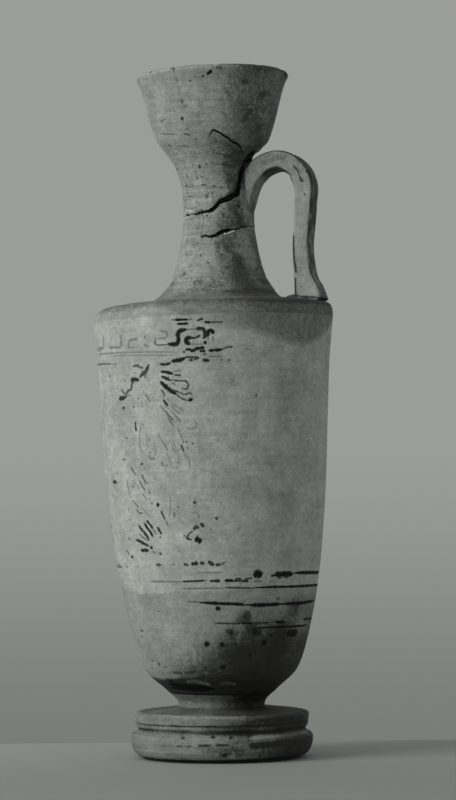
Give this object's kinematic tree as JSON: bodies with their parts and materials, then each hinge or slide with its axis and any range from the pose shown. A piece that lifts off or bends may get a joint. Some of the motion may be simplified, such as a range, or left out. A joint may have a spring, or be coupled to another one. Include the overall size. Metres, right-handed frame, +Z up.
{
  "type": "lekythos",
  "caption": "Tall narrow ceramic oil jar on a disc foot, with a flat shoulder, slender mended neck, flaring mouth and one strap handle.",
  "frame": {"origin": "middle of the flat underside of the foot, on the axis of the foot", "axes": "+Z up along the jar from foot to mouth, +X towards the handle, +Y to the left of the handle seen from outside it"},
  "size_m": [0.1054, 0.1054, 0.3009],
  "materials": {
    "pale_slip": "matt pale slip, stained and crackled, with worn dark line painting",
    "bare_clay": "fired clay, matt, soiled",
    "worn_glaze": "dark glaze worn down to the pale clay in patches, low sheen",
    "plaster": "dry white filling plaster",
    "old_glue": "old brown glue, dark in the open breaks"
  },
  "bodies": {
    "root": {"foot": "worn_glaze", "foot_lute": "bare_clay", "body": "pale_slip", "shoulder_lute": "bare_clay", "shoulder": "bare_clay", "neck_lute": "bare_clay", "lower_neck": "worn_glaze", "neck_sherd": "worn_glaze", "lower_glue": "old_glue", "upper_neck": "worn_glaze", "upper_glue": "old_glue", "plaster_fill": "plaster", "mouth": "worn_glaze", "mouth_glue": "old_glue", "rim_sherd": "worn_glaze", "handle": "worn_glaze", "handle_upper_lute": "bare_clay", "handle_lower_lute": "bare_clay"}
  },
  "joints": []
}
